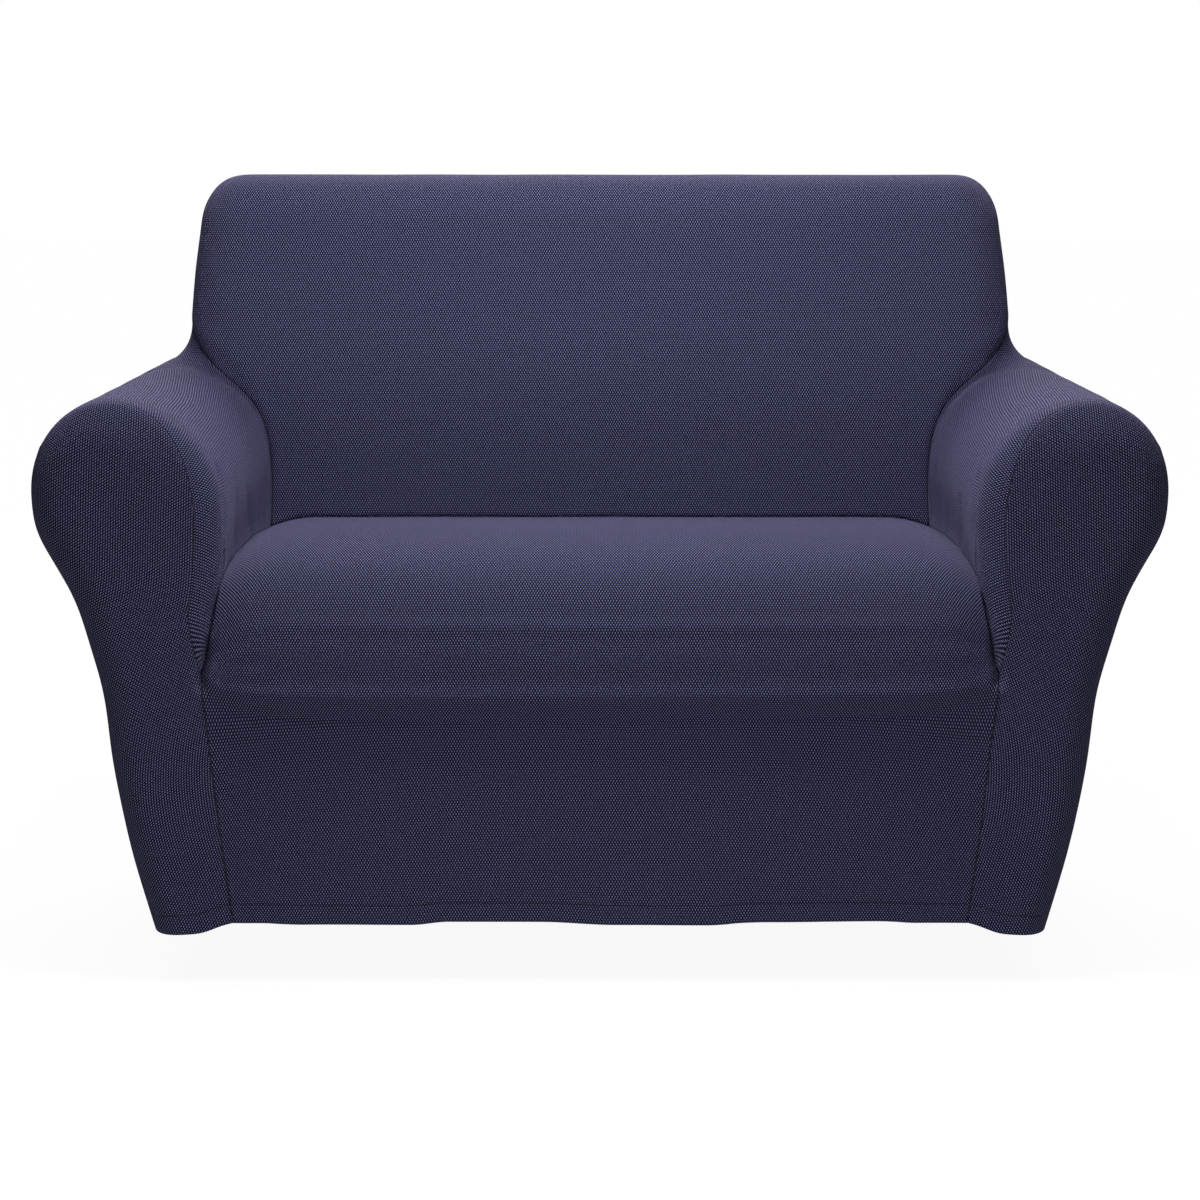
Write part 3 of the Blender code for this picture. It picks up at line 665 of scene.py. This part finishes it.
def arm_fronts():
    """The facings of the arms, folded over the roll and the outer side."""
    outer_start = INNER_SEAM_CELLS + FRONT_TOP_CELLS
    girth = [ARM.length * spread(k, GIRTH_CELLS, GIRTH_EASE) for k in range(GIRTH_CELLS + 1)]
    seam = [front_edge(length, seam_turn(length)) for length in girth]
    flat = [unrolled(ARM, length, front_round(length), seam_turn(length)) for length in girth]
    border = [seat_edge(1.0 - (1.0 - SKIRT_T) * k / SKIRT_CELLS) for k in range(SKIRT_CELLS + 1)]
    left = [(p.x, p.z) for p in border] + flat[1 : INNER_SEAM_CELLS + 1]
    left_real = border + seam[1 : INNER_SEAM_CELLS + 1]
    high = flat[INNER_SEAM_CELLS : outer_start + 1]
    high_real = seam[INNER_SEAM_CELLS : outer_start + 1]
    right = flat[outer_start:][::-1]
    right_real = seam[outer_start:][::-1]
    start, end = left[0], right[0]
    low = []
    for k in range(FRONT_TOP_CELLS + 1):
        f = 1.0 - (1.0 - k / FRONT_TOP_CELLS) ** FRONT_HEM_EASE
        rise = HEM_RISE * (1.0 - smooth(0.0, 0.4, f))
        low.append((start[0] + (end[0] - start[0]) * f, rise + end[1] * f))
    low[0], low[-1] = start, end
    flat_rows = patch(low, high, left, right)
    for n in range(1, FRONT_TOP_CELLS):
        draw = TOP_DRAW * math.sin(math.pi * n / FRONT_TOP_CELLS)
        under, seam_point = flat_rows[-2][n], flat_rows[-1][n]
        flat_rows[-2][n] = tuple(u + (s - u) * draw for u, s in zip(under, seam_point))
    rows = []
    for j, flat_row in enumerate(flat_rows):
        row = []
        for point in flat_row:
            across, drop, up = wrapped(ARM, point, front_round)
            sink = SKIRT_SINK * (1.0 - smooth(0.0, INNER_WALL[0][1], up))
            sink *= 1.0 - smooth(SEAT[-1][2], OUTER_SIDE[-1][0], across)
            row.append(place(across, drop + sink, up))
        row[0], row[-1] = left_real[j], right_real[j]
        rows.append(row)
    rows[-1] = high_real
    places = [[knit_turn(point) for point in row] for row in flat_rows]
    return [
        coarse("arm_front_right", rows, places),
        coarse("arm_front_left", mirrored(rows), mirrored_places(places)),
    ]


def inside_back():
    """Inside back with its top and sides, which fold back to the rear edge."""
    lengths = side_lengths()
    right = [unrolled(BACK, length, back_round(length)) for length in lengths]
    right_real = [back_edge_point(length) for length in lengths]
    shares = across_shares()
    top_lengths = [CORNER_LENGTH * abs(share) for share in shares]
    high = [unrolled(BACK, length, back_round(length)) for length in top_lengths]
    high = [(math.copysign(x, share), z) for (x, z), share in zip(high, shares)]
    high_real = [back_edge_point(length) for length in top_lengths]
    low = [(p.x, p.z) for p in seat_points(0.0)]
    left = [(-x, z) for x, z in right]
    flat_rows = patch(low, high, left, right)
    rows = []
    for j, flat_row in enumerate(flat_rows):
        row = []
        for point in flat_row:
            across, drop, up = wrapped(BACK, (abs(point[0]), point[1]), back_round)
            row.append(place(math.copysign(across, point[0]), back_deep(up) + drop, up))
        row[-1] = right_real[j]
        row[0] = Vector((-row[-1].x, row[-1].y, row[-1].z))
        rows.append(row)
    rows[-1] = [
        Vector((math.copysign(p.x, share), p.y, p.z)) for p, share in zip(high_real, shares)
    ]
    return [coarse("inside_back", rows, flat_rows, fold_to_rear)]


def fold_to_rear(bm):
    """Carry the inside back's top and sides straight back to the rear edge."""
    flat_place = bm.verts.layers.float_vector["flat_place"]
    foot = SHOULDER[1] - 0.001
    rim = [e for e in bm.edges if e.is_boundary and min(v.co.z for v in e.verts) > foot]
    for k in range(SHOULDER_CELLS, 0, -1):
        made = bmesh.ops.extrude_edge_only(bm, edges=rim)["geom"]
        verts = [piece for piece in made if isinstance(piece, bmesh.types.BMVert)]
        for vert in verts:
            start = vert.co.copy()
            vert.co = to_rear(start, 1.0 / k)
            across, up = BACK.outward(BACK.nearest((abs(start.x), start.z)))
            step = (vert.co - start).length
            vert[flat_place] += Vector((math.copysign(across, start.x), up, 0.0)) * step
        edges = [piece for piece in made if isinstance(piece, bmesh.types.BMEdge)]
        rim = [edge for edge in edges if all(vert in verts for vert in edge.verts)]


def outside_back():
    """The rear panel, with its edge folded forward over the arms' and the back's rear edges."""
    sleeve_rear = [(p.x, p.z) for p in sleeve_rows()[-1]]
    above_shoulder = side_lengths()[BACK_SIDE_CELLS + 1 :]
    right = sleeve_rear[::-1] + [BACK.at(length) for length in above_shoulder]
    left = [(-x, z) for x, z in right]
    shares = across_shares()
    top = [BACK.at(CORNER_LENGTH * abs(share)) for share in shares]
    high = [(math.copysign(x, share), z) for (x, z), share in zip(top, shares)]
    low = []
    for share in shares:
        across = share * right[0][0]
        rise = HEM_RISE * (1.0 - smooth(0.30, right[0][0], abs(across)))
        low.append((across, right[0][1] + rise))
    rim = Path(top[len(top) // 2 :] + right[::-1][1:])
    rows = []
    flat_rows = patch(low, high, left, right)
    for flat_row in flat_rows:
        row = []
        for across, up in flat_row:
            inside = math.dist(rim.at(rim.nearest((abs(across), up))), (abs(across), up))
            fold = max(1.0 - inside / REAR_ROUND, 0.0)
            drop = REAR_ROUND * (1.0 - math.sqrt(1.0 - min(fold, 1.0) ** 2))
            row.append(place(across, rear_deep(up) - drop, up))
        rows.append(row[::-1])
    return [coarse("outside_back", rows, [row[::-1] for row in flat_rows])]


def keep_corners(panels):
    """Where one panel has a corner, keep the point sharp in the neighbours' edges too."""
    corners = [v.co.copy() for _, bm in panels for v in bm.verts if len(v.link_edges) == 2]
    for _, bm in panels:
        kept = bm.verts.layers.float.new("crease_vert")
        for vert in bm.verts:
            if vert.is_boundary and min((vert.co - corner).length for corner in corners) < 0.001:
                vert[kept] = 1.0


def fine(name, bm):
    """The smooth panel: its grid subdivided, an object with a map of the flat cloth in metres."""
    flat_place = bm.verts.layers.float_vector["flat_place"]
    uv = bm.loops.layers.uv.new("cloth")
    for face in bm.faces:
        for loop in face.loops:
            loop[uv].uv = loop.vert[flat_place].xy
    bm.verts.layers.float_vector.remove(flat_place)
    mesh = bpy.data.meshes.new(name)
    bm.to_mesh(mesh)
    bm.free()
    obj = bpy.data.objects.new(name + "_cloth", mesh)
    bpy.context.scene.collection.objects.link(obj)
    rounding = obj.modifiers.new("rounding", "SUBSURF")
    rounding.levels = rounding.render_levels = FINE_LEVELS
    rounding.boundary_smooth = "PRESERVE_CORNERS"
    graph = bpy.context.evaluated_depsgraph_get()
    smooth_mesh = bpy.data.meshes.new_from_object(obj.evaluated_get(graph))
    obj.modifiers.clear()
    obj.data = smooth_mesh
    bpy.data.meshes.remove(mesh)
    smooth_mesh.name = name
    return obj


def creased(mesh):
    """Push the cloth in or out along its creases. The push depends only on the place, so points
    that neighbouring panels share stay together."""
    noise.seed_set(SLACK_SEED)  # without a seed, the slack would differ each time
    curves = []
    for width, push, *points in CREASES:
        curve = [Vector(point) for point in sampled(points, 4)]
        middle = curve[len(curve) // 2]
        reach = max((point - middle).length for point in curve) + CREASE_REACH * width
        curves.append((curve, middle, reach, width, Vector(push)))
    for vert in mesh.vertices:
        start = vert.co - Vector((0.0, FRONT_Y, 0.0))
        moved = noise.noise_vector(start * SLACK_BENDS) * SLACK
        for curve, middle, reach, width, push in curves:
            if (start - middle).length < reach:
                gap, along = curve_gap(start, curve)
                fade = smooth(0.0, CREASE_FADE, along) * smooth(0.0, CREASE_FADE, 1.0 - along)
                moved += push * (fade * math.exp(-((gap / width) ** 2)))
        vert.co += moved


def curve_gap(point, curve):
    """A point's distance from a curve, and where along it, from 0 to 1, the nearest place lies."""
    best = (math.inf, 0.0)
    for k in range(1, len(curve)):
        share = geometry.intersect_point_line(point, curve[k - 1], curve[k])[1]
        share = min(max(share, 0.0), 1.0)
        gap = (curve[k - 1].lerp(curve[k], share) - point).length
        best = min(best, (gap, (k - 1 + share) / (len(curve) - 1)))
    return best


def keep_distances(mesh):
    """Keep each point's distance from the panel's seams and from its hem, for the knit to read."""
    bm = bmesh.new()
    bm.from_mesh(mesh)
    edges = {"from_seam": [], "from_hem": []}
    for edge in bm.edges:
        if edge.is_boundary:
            low, high = sorted(vert.co.z for vert in edge.verts)
            hem = high < 2.0 * HEM_RISE and high - low < 0.5 * edge.calc_length()
            edges["from_hem" if hem else "from_seam"] += [vert.co.copy() for vert in edge.verts]
    bm.free()
    for name, places in edges.items():
        tree = kdtree.KDTree(len(places))
        for n, co in enumerate(places):
            tree.insert(co, n)
        tree.balance()
        gaps = [tree.find(vert.co)[2] if places else 1.0 for vert in mesh.vertices]
        mesh.attributes.new(name, "FLOAT", "POINT").data.foreach_set("value", gaps)


coarse_panels = inside_back() + outside_back() + seat_and_skirt() + sleeves() + arm_fronts()
keep_corners(coarse_panels)
PANELS = {name: fine(name, bm) for name, bm in coarse_panels}


# ---- knit ---------------------------------------------------------------------------------


def linear(hex_colour):
    """A colour written as sRGB hex, as the linear RGBA that a socket takes."""
    parts = [int(hex_colour[k : k + 2], 16) / 255 for k in (1, 3, 5)]
    parts = [c / 12.92 if c <= 0.04045 else ((c + 0.055) / 1.055) ** 2.4 for c in parts]
    return (*parts, 1.0)


def add(tree, kind, inputs=(), **settings):
    """Add a node: its settings by name, then its inputs, each a value or a socket to link."""
    made = tree.nodes.new(kind)
    for key, value in settings.items():
        setattr(made, key, value)
    for socket, value in dict(inputs).items():
        if isinstance(value, bpy.types.NodeSocket):
            tree.links.new(value, made.inputs[socket])
        else:
            made.inputs[socket].default_value = value
    return made


def stretch_knit(name, ground, stitch):
    """Polyester and elastane jersey with a bird's-eye face: matt navy yarn, with a paler loop
    showing at every second stitch, in rows that are offset by half a stitch. It gives the eye a
    fine staggered grain up close, and a soft lavender bloom where the cloth is seen edge on."""
    material = bpy.data.materials.new(name)
    material.use_nodes = True
    tree = material.node_tree
    shader = tree.nodes["Principled BSDF"]
    math_node = "ShaderNodeMath"
    cloth = add(tree, "ShaderNodeUVMap", uv_map="cloth").outputs["UV"]
    # The yarn wanders a little, so the rows aren't ruled lines.
    wander = add(tree, "ShaderNodeTexNoise", {"Vector": cloth, "Scale": YARN_BENDS, "Detail": 2.0})
    place_in_knit = add(
        tree,
        "ShaderNodeVectorMath",
        {0: wander.outputs["Color"], 1: (YARN_WANDER, YARN_WANDER, 0.0), 2: cloth},
        operation="MULTIPLY_ADD",
    )
    split = add(tree, "ShaderNodeSeparateXYZ", {0: place_in_knit.outputs[0]})
    across_scale = {0: split.outputs["X"], 1: 2 * math.pi / WALE}
    across = add(tree, math_node, across_scale, operation="MULTIPLY")
    down = add(tree, math_node, {0: split.outputs["Y"], 1: math.pi / COURSE}, operation="MULTIPLY")
    wale = add(tree, math_node, {0: across.outputs[0]}, operation="COSINE")
    course = add(tree, math_node, {0: down.outputs[0]}, operation="COSINE")
    loops = add(tree, math_node, {0: wale.outputs[0], 1: course.outputs[0]}, operation="MULTIPLY")
    shown = add(
        tree,
        "ShaderNodeMapRange",
        {0: loops.outputs[0], "From Min": LOOP_EDGE[0], "From Max": LOOP_EDGE[1]},
        interpolation_type="SMOOTHSTEP",
    )
    # Each loop takes the light a little differently.
    patches = {"Vector": cloth, "Scale": LOOP_PATCHES, "Detail": 1.0}
    uneven = add(tree, "ShaderNodeTexNoise", patches)
    shades = {0: uneven.outputs[0], 1: LOOP_SHADES[1], 2: LOOP_SHADES[0]}
    share = add(tree, math_node, shades, operation="MULTIPLY_ADD")
    lit = add(tree, math_node, {0: shown.outputs[0], 1: share.outputs[0]}, operation="MULTIPLY")
    # A seam pulls in a groove. So does the hem's row of stitches, at the top of its double cloth.
    seam_gap = add(tree, "ShaderNodeAttribute", attribute_name="from_seam").outputs["Fac"]
    hem_gap = add(tree, "ShaderNodeAttribute", attribute_name="from_hem").outputs["Fac"]
    above_row = add(tree, math_node, {0: hem_gap, 1: HEM_BAND}, operation="SUBTRACT")
    row_gap = add(tree, math_node, {0: above_row.outputs[0]}, operation="ABSOLUTE")
    nearest = add(tree, math_node, {0: seam_gap, 1: row_gap.outputs[0]}, operation="MINIMUM")
    groove = add(
        tree,
        "ShaderNodeMapRange",
        {0: nearest.outputs[0], "From Max": SEAM_GROOVE, "To Min": 1.0, "To Max": 0.0},
        interpolation_type="SMOOTHSTEP",
    )
    doubled = add(tree, math_node, {0: hem_gap, 1: HEM_BAND}, operation="LESS_THAN")
    colour = add(
        tree,
        "ShaderNodeMix",
        {0: lit.outputs[0], 6: linear(ground), 7: linear(stitch)},
        data_type="RGBA",
    )
    # Painted shade: the base colour goes towards near-black in the seam grooves and along the hem's
    # row of stitches, where the pulled-in cloth falls into shade.
    shade = add(tree, math_node, {0: groove.outputs[0], 1: GROOVE_PAINTED_SHADE}, operation="MULTIPLY")
    shaded = add(
        tree,
        "ShaderNodeMix",
        {0: shade.outputs[0], 6: colour.outputs[2], 7: linear("#07080f")},
        data_type="RGBA",
    )
    tree.links.new(shaded.outputs[2], shader.inputs["Base Color"])
    folded = {0: doubled.outputs[0], 1: HEM_THICKNESS, 2: loops.outputs[0]}
    raised = add(tree, math_node, folded, operation="MULTIPLY_ADD")
    pulled_in = {0: groove.outputs[0], 1: -GROOVE_DEPTH, 2: raised.outputs[0]}
    height = add(tree, math_node, pulled_in, operation="MULTIPLY_ADD").outputs[0]
    bump = {"Strength": 0.8, "Distance": LOOP_HEIGHT, "Height": height}
    relief = add(tree, "ShaderNodeBump", bump)
    tree.links.new(relief.outputs["Normal"], shader.inputs["Normal"])
    shader.inputs["Roughness"].default_value = 0.88
    shader.inputs["Specular IOR Level"].default_value = 0.25
    shader.inputs["Sheen Weight"].default_value = 0.2
    shader.inputs["Sheen Roughness"].default_value = 0.45
    shader.inputs["Sheen Tint"].default_value = linear("#bfb2e6")
    return material


NAVY_KNIT = stretch_knit("navy_birdseye_knit", "#07091a", "#7b7cb0")

for name, panel in PANELS.items():
    creased(panel.data)
    keep_distances(panel.data)
    panel.data.materials.clear()
    panel.data.materials.append(NAVY_KNIT)
    panel.data.shade_smooth()
    solid = panel.modifiers.new("cloth", "SOLIDIFY")
    solid.thickness = CLOTH
    solid.offset = -1.0
    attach(panel, "root")
    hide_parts(name)


# ---- studio -------------------------------------------------------------------------------


def lit_world():
    """A white cyclorama: pure white to the eye, and a weak fill to the cloth."""
    world = bpy.data.worlds.new("white_cyclorama")
    world.use_nodes = True
    tree = world.node_tree
    seen = add(tree, "ShaderNodeLightPath").outputs["Is Camera Ray"]
    strength = add(
        tree, "ShaderNodeMapRange", {"Value": seen, "To Min": WORLD_FILL, "To Max": 1.0}
    ).outputs["Result"]
    background = tree.nodes["Background"]
    background.inputs["Color"].default_value = (1.0, 1.0, 1.0, 1.0)
    tree.links.new(strength, background.inputs["Strength"])
    return world


def lit_floor():
    """A white acrylic light table, which glows and takes only a faint shadow."""
    bm = bmesh.new()
    bmesh.ops.create_grid(bm, x_segments=1, y_segments=1, size=FLOOR_HALF)
    bmesh.ops.translate(bm, verts=bm.verts, vec=(0.0, 0.0, FLOOR_UP))
    mesh = bpy.data.meshes.new("floor")
    bm.to_mesh(mesh)
    bm.free()
    acrylic = bpy.data.materials.new("opal_acrylic_light_table")
    acrylic.use_nodes = True
    shader = acrylic.node_tree.nodes["Principled BSDF"]
    shader.inputs["Base Color"].default_value = (FLOOR_WHITE, FLOOR_WHITE, FLOOR_WHITE, 1.0)
    shader.inputs["Roughness"].default_value = 1.0
    shader.inputs["Specular IOR Level"].default_value = 0.0
    shader.inputs["Emission Color"].default_value = (1.0, 1.0, 1.0, 1.0)
    shader.inputs["Emission Strength"].default_value = FLOOR_GLOW
    mesh.materials.append(acrylic)
    return bpy.data.objects.new("floor", mesh)


def soft_light(name, watts, spot, tilt, width, depth):
    """A soft oblong light that the camera doesn't see."""
    data = bpy.data.lights.new(name, "AREA")
    data.energy = watts
    data.shape = "RECTANGLE"
    data.size, data.size_y = width, depth
    lamp = bpy.data.objects.new(name, data)
    lamp.location = spot
    lamp.rotation_euler = (math.radians(tilt), 0.0, 0.0)
    lamp.visible_camera = False
    return lamp


def rear_scrim():
    """A large soft light from above and behind, which lifts the tops of the arms and the back."""
    data = bpy.data.lights.new("rear_scrim", "SUN")
    data.energy = REAR_SCRIM
    data.color = (1.0, 0.95, 1.0)
    data.angle = math.radians(SCRIM_SPREAD)
    lamp = bpy.data.objects.new("rear_scrim", data)
    lamp.rotation_euler = (math.radians(SCRIM_TILT), 0.0, 0.0)
    return lamp


def camera():
    lens = bpy.data.cameras.new("camera")
    lens.lens = LENS
    made = bpy.data.objects.new("camera", lens)
    made.location = CAMERA_SPOT
    made.rotation_euler = (math.radians(90.0 - CAMERA_DOWN), 0.0, 0.0)
    return made


scene = bpy.context.scene
scene.view_settings.view_transform = "Standard"
scene.world = lit_world()
floor, scene.camera = lit_floor(), camera()
floor.visible_diffuse = floor.visible_glossy = False  # its glow is for the eye, not for the cloth
lights = [soft_light(name, *setting) for name, setting in LIGHTS.items()] + [rear_scrim()]
for thing in [floor, scene.camera] + lights:
    scene.collection.objects.link(thing)
